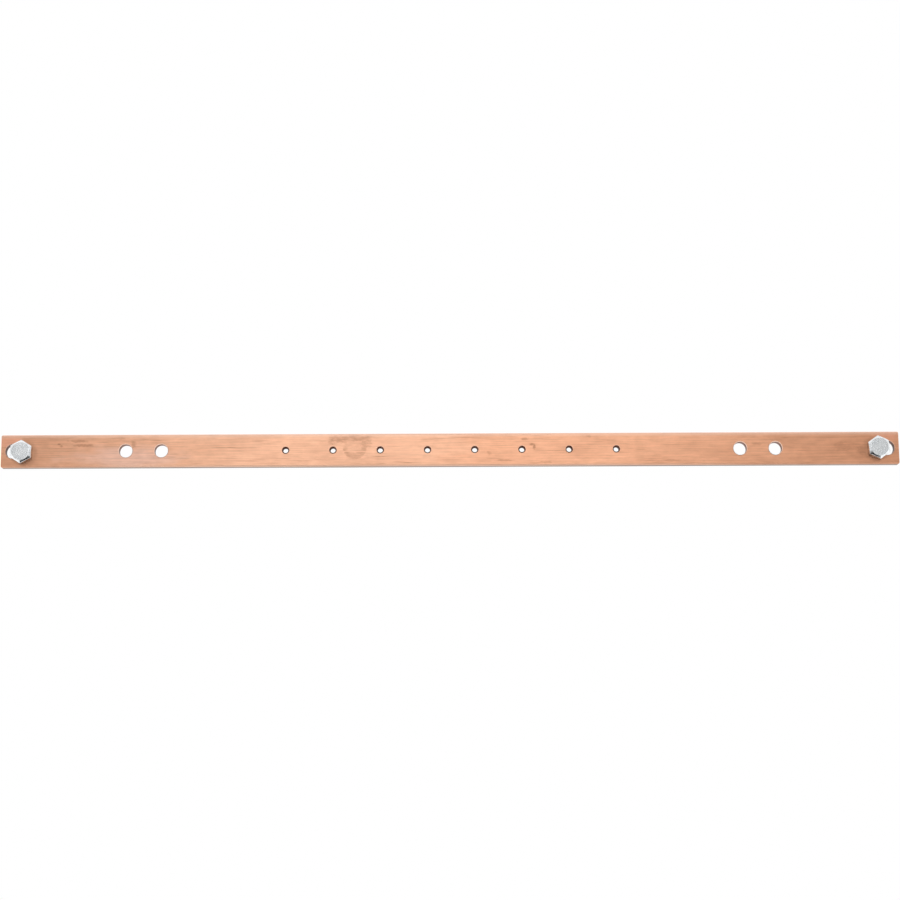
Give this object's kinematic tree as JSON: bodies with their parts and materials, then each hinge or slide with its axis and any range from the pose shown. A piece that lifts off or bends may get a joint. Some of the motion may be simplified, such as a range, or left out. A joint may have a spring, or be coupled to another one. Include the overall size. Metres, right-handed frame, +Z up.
{
  "type": "rack grounding busbar",
  "caption": "Flat copper bar that bonds rack equipment to ground, with a row of tapped holes, paired lug holes, and a hex bolt in the slot at each end.",
  "frame": {"origin": "middle of the bar's back face, which seats on the rack's rails", "axes": "+X along the bar to the viewer's right, -Y out of the front face, +Z up"},
  "size_m": [0.4826, 0.023, 0.0178],
  "materials": {
    "copper": "bare drawn copper, satin, with a fine lengthwise grain, brown smudges and a water stain",
    "zinc_plate": "bright zinc plate, slightly mottled"
  },
  "bodies": {
    "root": {"busbar": "copper", "left_mounting_bolt": "zinc_plate", "right_mounting_bolt": "zinc_plate"}
  },
  "joints": []
}
